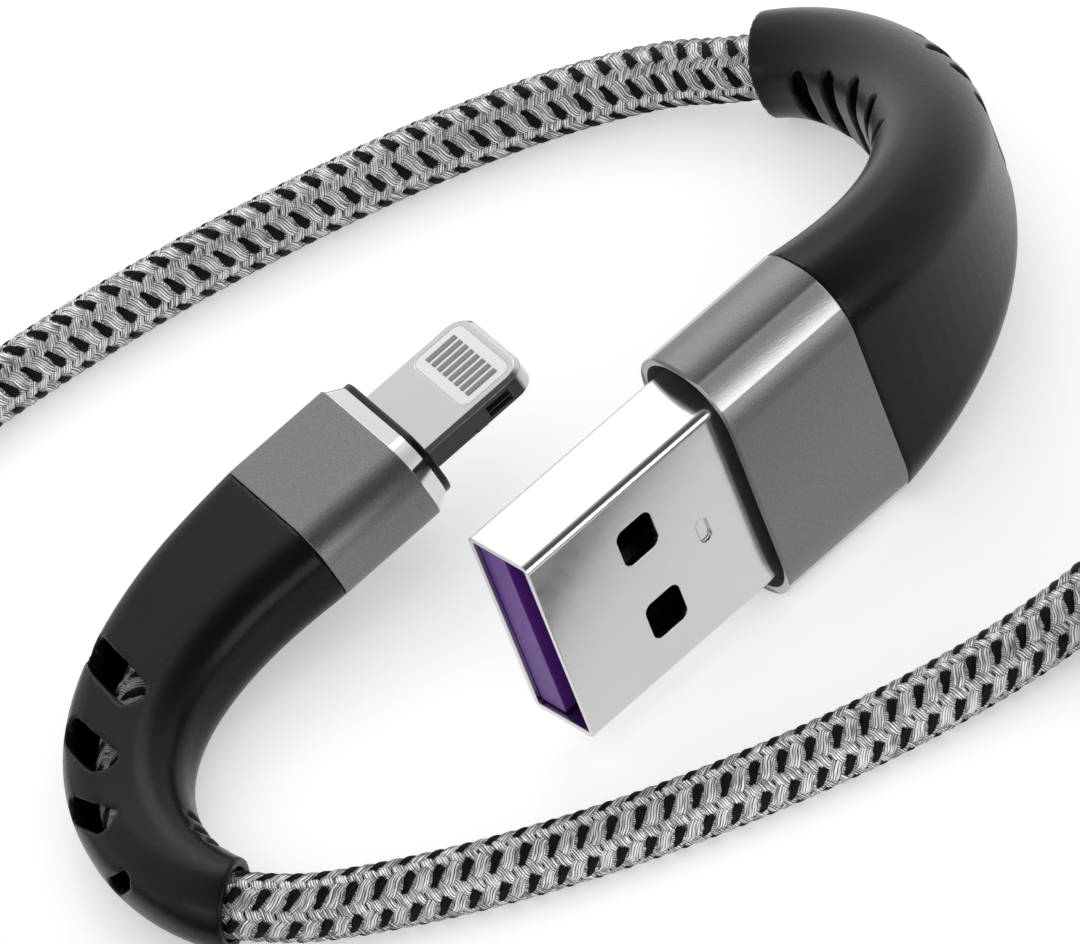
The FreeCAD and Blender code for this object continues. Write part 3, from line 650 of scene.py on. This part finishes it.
host_run_end = length_at(HOST_ROUTE[-1])
phone_run_start = length_at(PHONE_ROUTE[-1])
coil_middle = (host_run_end + phone_run_start) / 2
parts = {
    "cord_braid_host_a": (0, host_run_end / 2, FINE_STEP, THREADS),
    "cord_braid_host_b": (host_run_end / 2, host_run_end, FINE_STEP, THREADS),
    "cord_braid_coil_a": (host_run_end, coil_middle, COARSE_STEP, 0),
    "cord_braid_coil_b": (coil_middle, phone_run_start, COARSE_STEP, 0),
    "cord_braid_phone": (phone_run_start, cord_line.length, FINE_STEP, THREADS),
}
for name, values in parts.items():
    phone_half = name in ("cord_braid_coil_b", "cord_braid_phone")
    hand_and_column = (-1, PHONE_COLUMN) if phone_half else (1, HOST_COLUMN)
    piece = braid(name, cord_line, *values, silver_yarn, *hand_and_column)
    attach(piece, "cord")
    print(name, "faces", len(piece.data.polygons))
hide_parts("cord_host_run", "cord_phone_run", "cord_coil")

# %% [markdown]
# ## Cord inside the boots
# The braid doesn't stop where the cord goes into a boot. It goes on to the crimp, and it can be
# seen through the slots. Inside, the cord follows the boot's own middle line.

# %% Cord ends
INSIDE_STEP = 0.3 * MM
INSIDE_SHARES = (0.01, 0.997)       # of the boot's middle line
INSIDE_POINTS = 240
BARE_END = 0.2 * MM                 # jacket without braid, at the crimp
BEND_HOST = ((27.6, 1.9, 6.5), HOST_ROUTE[0])       # where the boot starts and ends bending
BEND_PHONE = ((-26.9, 3.1, 3.5), PHONE_ROUTE[0])


def bend_line(corners):
    """Points along one Bezier curve through a boot."""
    t = np.linspace(*INSIDE_SHARES, INSIDE_POINTS)[:, None]
    a, b, c, d = (np.array(corner) * MM for corner in corners)
    return a * (1 - t) ** 3 + 3 * b * t * (1 - t) ** 2 + 3 * c * t * t * (1 - t) + d * t ** 3


def bends_with(piece):
    """Puts a piece's placement into its own points, so that it stays where it lies."""
    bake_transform(piece)


inside = {
    "host": ((10.65, -11.45, 7.7), (25.75, -11.45, 7.7), (31.55, 7.04, 3.55),
             HOST_ROUTE[0], BEND_HOST),
    "phone": ((-10.47, 8.8, 4.3), (-28.46, 11.81, 1.22), (-30.28, -4.12, 3.15),
              PHONE_ROUTE[0], BEND_PHONE),
}
for end_name, (*corners, bend) in inside.items():
    line = Line(bend_line(corners))
    core, _ = tube(
        end_name + "_end_jacket", line, 0, line.length, JACKET_STEP, JACKET_RADIUS, cord_jacket
    )
    # the braid inside the boots takes the yarn with painted shade
    cover = braid(
        end_name + "_end_braid", line, BARE_END, line.length, INSIDE_STEP, THREADS, painted_shade_yarn
    )
    for piece in (core, cover):
        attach(piece, "cord")
        piece.parent = None
        bends_with(piece)
    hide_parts(end_name + "_cord_end")
    print(end_name, "end", round(line.length / MM, 1), "mm")

# %% [markdown]
# ## Boots
# Each boot is one soft moulding, bent for good, with slots that let it give. The construction
# model has its exact shape, but its edges are knife sharp and its faces are long slivers that
# can't bend. Turned into a skin of small even cells and then relaxed a little, it gets the small
# round edges of a moulding.

# %% Boots
BOOT_CELLS = {"host": 0.165 * MM, "phone": 0.14 * MM}
RELAX_ROUNDS = 4
SOFTEN_ROUNDS = 3
SMOOTHING = 0.5         # how far a round moves a point towards the middle of its neighbours
boot_rubber = finish(
    "boot_rubber", grey(0.003), grey(0.0055), (0.25, 0.33), grain=7000, depth=0.003 * MM,
    tone_scale=120, Specular_IOR_Level=0.14,
)


def evaluated_mesh(piece):
    """The mesh of a piece with its modifiers applied."""
    bpy.context.view_layer.update()
    graph = bpy.context.evaluated_depsgraph_get()
    return bpy.data.meshes.new_from_object(piece.evaluated_get(graph))


def relaxed_copy(name, node, cell, material):
    """A CAD node's shape as an even skin with rounded edges."""
    piece = bpy.data.objects.new(name, nodes[node].data.copy())
    scene.collection.objects.link(piece)
    even = piece.modifiers.new("even", "REMESH")
    even.mode = "VOXEL"
    even.voxel_size = cell
    even.use_smooth_shade = True
    relax = piece.modifiers.new("relax", "SMOOTH")
    relax.factor = SMOOTHING
    relax.iterations = RELAX_ROUNDS
    settle = piece.modifiers.new("settle", "SHRINKWRAP")
    settle.target = nodes[node]
    soften = piece.modifiers.new("soften", "SMOOTH")
    soften.factor = SMOOTHING
    soften.iterations = SOFTEN_ROUNDS
    mesh = evaluated_mesh(piece)
    piece.modifiers.clear()
    piece.data = mesh
    mesh.materials.clear()
    mesh.materials.append(material)
    return piece


for end_name, (*_, bend) in inside.items():
    node = end_name + "_boot"
    piece = relaxed_copy(node + "_skin", node, BOOT_CELLS[end_name], boot_rubber)
    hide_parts(node)
    bends_with(piece)
    print(piece.name, "faces", len(piece.data.polygons))

# %% [markdown]
# ## Metal and plastic
# The hard pieces keep the exact shapes of the construction model and get their finishes here. A
# bevel node rounds the look of each sharp edge, because a real edge always catches a thin line of
# light. The sleeves are blasted with fine beads before they are anodised, so they are satin with
# a grain. The shell is drawn from thin sheet and polished, so it is almost a mirror.

# %% Finishes of the hard pieces
FINISHES = {
    "polished_steel": finish(
        "polished_steel", grey(0.58), grey(0.63), (0.14, 0.20), grain=1500, depth=0.0015 * MM,
        metallic=1.0, tone_scale=60, edge=0.09 * MM,
    ),
    "purple_plastic": finish(
        "purple_plastic", (0.095, 0.016, 0.22), (0.125, 0.023, 0.28), (0.35, 0.45), grain=2500,
        depth=0.003 * MM, edge=0.12 * MM, Specular_IOR_Level=0.3,
    ),
    "contact_metal": finish(
        "contact_metal", (0.50, 0.42, 0.28), (0.60, 0.50, 0.33), (0.22, 0.32), grain=2500,
        depth=0.002 * MM, metallic=1.0, edge=0.08 * MM,
    ),
    "anodised_aluminium": finish(
        "anodised_aluminium", grey(0.155), grey(0.22), (0.31, 0.41), grain=12000,
        depth=0.018 * MM, metallic=0.9, tone_scale=12000, edge=0.12 * MM,
    ),
    "inner_plastic": finish(
        "inner_plastic", grey(0.30), grey(0.36), (0.5, 0.62), grain=5000, depth=0.005 * MM,
        edge=0.1 * MM,
    ),
    "white_plastic": finish(
        "white_plastic", grey(0.84), grey(0.88), (0.32, 0.42), grain=3000, depth=0.002 * MM,
        edge=0.06 * MM,
    ),
    "black_lip": finish(
        "black_lip", grey(0.003), grey(0.006), (0.2, 0.3), grain=3500, depth=0.002 * MM,
        edge=0.08 * MM, Specular_IOR_Level=0.25,
    ),
    "chrome_ring": finish(
        "chrome_ring", grey(0.68), grey(0.72), (0.05, 0.09), grain=1800, depth=0.001 * MM,
        metallic=1.0, edge=0.06 * MM,
    ),
    "wire_skin": finish(
        "wire_skin", (0.45, 0.02, 0.02), (0.60, 0.04, 0.03), (0.35, 0.5), grain=3000,
        depth=0.003 * MM,
    ),
    "crimp_metal": finish(
        "crimp_metal", (0.50, 0.49, 0.46), (0.62, 0.60, 0.56), (0.28, 0.45), grain=2200,
        depth=0.004 * MM, metallic=1.0, edge=0.1 * MM,
    ),
    "board": finish(
        "board", (0.006, 0.055, 0.022), (0.012, 0.095, 0.040), (0.25, 0.35), grain=2800,
        depth=0.003 * MM,
    ),
    "chip": finish(
        "chip", grey(0.012), grey(0.02), (0.45, 0.6), grain=6000, depth=0.004 * MM,
        edge=0.05 * MM,
    ),
}
pad_metal = finish(
    "pad_metal", grey(0.19), grey(0.24), (0.35, 0.45), grain=4000, depth=0.002 * MM,
    metallic=0.6, edge=0.05 * MM,
)
tab_nickel = finish(
    "tab_nickel", grey(0.56), grey(0.61), (0.16, 0.22), grain=1500, depth=0.0015 * MM,
    metallic=1.0, tone_scale=60, edge=0.08 * MM,
)
print("finishes", ", ".join(FINISHES), pad_metal.name, tab_nickel.name)

# %% [markdown]
# ## Painted light and shade on some pieces
# Some pieces get a second colour that stands in for light and shade. The sleeve's inside wall is
# painted lighter, as painted light; the tab's narrow sides are painted darker than its faces, as
# painted shade; and what is deep inside the shell gets no light, so it is painted near black. The
# shape doesn't change there, so cutting the piece in two would be wrong. A place or a direction
# on the piece chooses between two colours instead.

# %% Painted light and shade
SLEEVE_WALL = 0.4 * MM
SLEEVE_INSIDE = (1.012, 1.0)            # of the inner wall's place: fades in from outside
DEEP_IN_SHELL = (-8.5 * MM, -7.0 * MM)  # along the plug, behind its mouth
TAB_SIDE = (0.165, 0.986, 0)            # the way that a narrow side of the tab faces
TAB_SIDE_SHARE = (0.86, 0.95)           # how squarely a face looks that way
# painted light: the sleeve's inner wall is lighter than its anodised outside
PAINTED_LIGHT_WALL = grey(0.55)
# painted shade: near black for the tongue and contacts deep inside the shell
UNLIT = grey(0.004)
# painted shade: the tab's narrow sides are darker than its faces
PAINTED_SHADE_SIDE = grey(0.05)


def between(material, source, limits, other):
    """The colour goes to another where the source passes from the first limit to the second."""
    tree = material.node_tree
    colour = tree.nodes["Principled BSDF"].inputs["Base Color"]
    before = colour.links[0].from_socket
    changed = tones(tree, spread(tree, source(tree), 0, 1, *limits), before, other)
    tree.links.new(changed, colour)


def along_plug(tree):
    """The place along X, in metres."""
    made = node_of(tree, "ShaderNodeSeparateXYZ")
    tree.links.new(node_of(tree, "ShaderNodeTexCoord").outputs["Object"], made.inputs[0])
    return made.outputs["X"]


def faces_side(tree):
    """1 where the surface faces as a narrow side of the tab does, and 0 on its wide faces."""
    made = node_of(tree, "ShaderNodeVectorMath", operation="DOT_PRODUCT")
    made.inputs[1].default_value = TAB_SIDE
    tree.links.new(node_of(tree, "ShaderNodeTexCoord").outputs["Normal"], made.inputs[0])
    return math_node(tree, "ABSOLUTE", made.outputs["Value"])


def inside_sleeve(tree):
    """Below 1 inside the host sleeve's walls, above 1 outside them."""
    low, high = (Vector(corner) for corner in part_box("host_sleeve"))
    half = (high - low) / 2 - Vector((0, 1, 1)) * SLEEVE_WALL
    place = node_of(tree, "ShaderNodeMapping", vector_type="TEXTURE")
    place.inputs["Location"].default_value = (low + high) / 2
    place.inputs["Scale"].default_value = (1, half.y, half.z)
    tree.links.new(node_of(tree, "ShaderNodeTexCoord").outputs["Object"], place.inputs[0])
    split = node_of(tree, "ShaderNodeSeparateXYZ")
    tree.links.new(place.outputs[0], split.inputs[0])
    far = node_of(tree, "ShaderNodeMath", operation="MAXIMUM")
    for k, axis in enumerate(("Y", "Z")):
        tree.links.new(math_node(tree, "ABSOLUTE", split.outputs[axis]), far.inputs[k])
    return far.outputs[0]


# painted light on the host sleeve's inner wall
between(FINISHES["anodised_aluminium"], inside_sleeve, SLEEVE_INSIDE, PAINTED_LIGHT_WALL)
# painted shade on the tongue and contacts behind the mouth
for deep in ("purple_plastic", "contact_metal"):
    between(FINISHES[deep], along_plug, DEEP_IN_SHELL, UNLIT)
# painted shade on the tab's narrow sides
between(tab_nickel, faces_side, TAB_SIDE_SHARE, PAINTED_SHADE_SIDE)
print("colour changes on the sleeves, the tongue, the contacts and the tab")

# %% [markdown]
# ## Dressing the pieces
# The construction model names a material for each piece, so most finishes are found by that name.
# The contact pads and the tab share a material's name with other pieces but look different, so
# they are listed on their own.

# %% Dress the pieces
OWN_FINISH = {
    "phone_pads_upper": pad_metal, "phone_pads_lower": pad_metal, "phone_tab": tab_nickel,
}
dressed = []
for part in frame["record"]["subparts"]:
    own = OWN_FINISH.get(part["node"]) or FINISHES.get(part["material_slot"])
    if own:
        dressed.append(part["node"])
        for holder in nodes[part["node"]].material_slots:
            holder.material = own
print("dressed", len(dressed), "of", len(nodes), "nodes")

# %% [markdown]
# ## Room
# Polished metal shows the room more than its own colour. A picture of a studio all round would do
# it, but then the room couldn't be changed by a number. This room is white at its walls and darker
# high up in front, as if somebody leaned over the table, which gives bright metal its dark
# streaks. Only mirrored rays see that: the even light on the object and the white behind it have
# values of their own.

# %% World
WORLD_LIGHT = 0.78
DARK_SIDE = Vector((0.02, -0.50, 0.86)).normalized()
DARK_SPREAD = (0.50, 0.90)      # how near to the dark side the room starts to darken, and is dark
DARKEST = 0.10
world = bpy.data.worlds.new("studio")
scene.world = world
world.use_nodes = True
tree = world.node_tree
background = tree.nodes["Background"]
background.inputs["Color"].default_value = (*grey(1), 1)


def either(tree, factor, first, second):
    """The first value where the factor is 0 and the second where it is 1."""
    made = node_of(tree, "ShaderNodeMix", data_type="FLOAT")
    tree.links.new(factor, made.inputs[0])
    for socket, value in zip((made.inputs[2], made.inputs[3]), (first, second)):
        if isinstance(value, float):
            socket.default_value = value
        else:
            tree.links.new(value, socket)
    return made.outputs[0]


def ray_kinds(tree):
    """1 for mirrored and transmitted rays, and 1 for rays straight from the camera."""
    path = node_of(tree, "ShaderNodeLightPath")
    made = node_of(tree, "ShaderNodeMath", operation="MAXIMUM")
    tree.links.new(path.outputs["Is Glossy Ray"], made.inputs[0])
    tree.links.new(path.outputs["Is Transmission Ray"], made.inputs[1])
    return made.outputs[0], path.outputs["Is Camera Ray"]


toward = node_of(tree, "ShaderNodeVectorMath", operation="DOT_PRODUCT")
toward.inputs[1].default_value = DARK_SIDE
tree.links.new(node_of(tree, "ShaderNodeTexCoord").outputs["Generated"], toward.inputs[0])
room = spread(tree, toward.outputs["Value"], 1.0, DARKEST, *DARK_SPREAD)
glossy, direct = ray_kinds(tree)
light = either(tree, direct, either(tree, glossy, WORLD_LIGHT, room), 1.0)
tree.links.new(light, background.inputs["Strength"])
print("world light", WORLD_LIGHT, "darkest wall", DARKEST)

# %% [markdown]
# ## Table
# The cable lies on a plain white table. More light would make it white, but would wash out the
# object too. So the table gets its white from a little glow of its own, which only the camera and
# the polished metal see. It is weak enough to leave the soft shadow under the cable. The table
# lies a hair below the lowest point, so that no surface falls together with it.

# %% Table
TABLE_HALF = 1.5        # in metres
TABLE_DROP = 0.03 * MM
TABLE_GLOW = 0.40
TABLE_IN_METAL = 0.45
table_mesh = bpy.data.meshes.new("table")
corners = [(x * TABLE_HALF, y * TABLE_HALF, -TABLE_DROP)
           for x, y in ((-1, -1), (1, -1), (1, 1), (-1, 1))]
table_mesh.from_pydata(corners, [], [(0, 1, 2, 3)])
table = bpy.data.objects.new("table", table_mesh)
scene.collection.objects.link(table)
table_finish = finish(
    "table", grey(0.81), grey(0.83), (0.85, 0.95), grain=900, depth=0.01 * MM, tone_scale=20,
    Specular_IOR_Level=0.1, Emission_Color=(*grey(1), 1),
)
tree = table_finish.node_tree
shader = tree.nodes["Principled BSDF"]
glossy, direct = ray_kinds(tree)
shown = either(tree, direct, either(tree, glossy, 0.0, TABLE_IN_METAL), TABLE_GLOW)
tree.links.new(shown, shader.inputs["Emission Strength"])
table_mesh.materials.append(table_finish)
print("table", 2 * TABLE_HALF, "m wide")

# %% [markdown]
# ## Lamps
# Three soft boxes give form to what the even room light would leave flat. One stands where the
# round top of the host sleeve mirrors it, one low in front lights the faces that look at the
# camera, and a narrow one on the left draws a line along the boots. Point lamps would make hard
# sparks on the metal.

# %% Lamps
LAMP_FAR = 0.6      # in metres


def lamp(name, way, size, radiance):
    """A soft box in one direction from the object, as bright as radiance times white."""
    data = bpy.data.lights.new(name, "AREA")
    data.shape = "RECTANGLE"
    data.size, data.size_y = size
    data.energy = radiance * math.pi * size[0] * size[1]
    made = bpy.data.objects.new(name, data)
    scene.collection.objects.link(made)
    made.location = Vector(way).normalized() * LAMP_FAR
    made.rotation_mode = "QUATERNION"
    made.rotation_quaternion = (-made.location).to_track_quat("-Z", "Y")
    print(name, round(data.energy, 2), "W")


lamp("top_box", way=(0.443, 0.610, 0.658), size=(0.28, 0.28), radiance=1.8)
lamp("front_strip", way=(0.10, -0.94, 0.27), size=(0.55, 0.28), radiance=2.7)
lamp("left_strip", way=(-0.93, 0.12, 0.34), size=(0.3, 0.07), radiance=3.0)
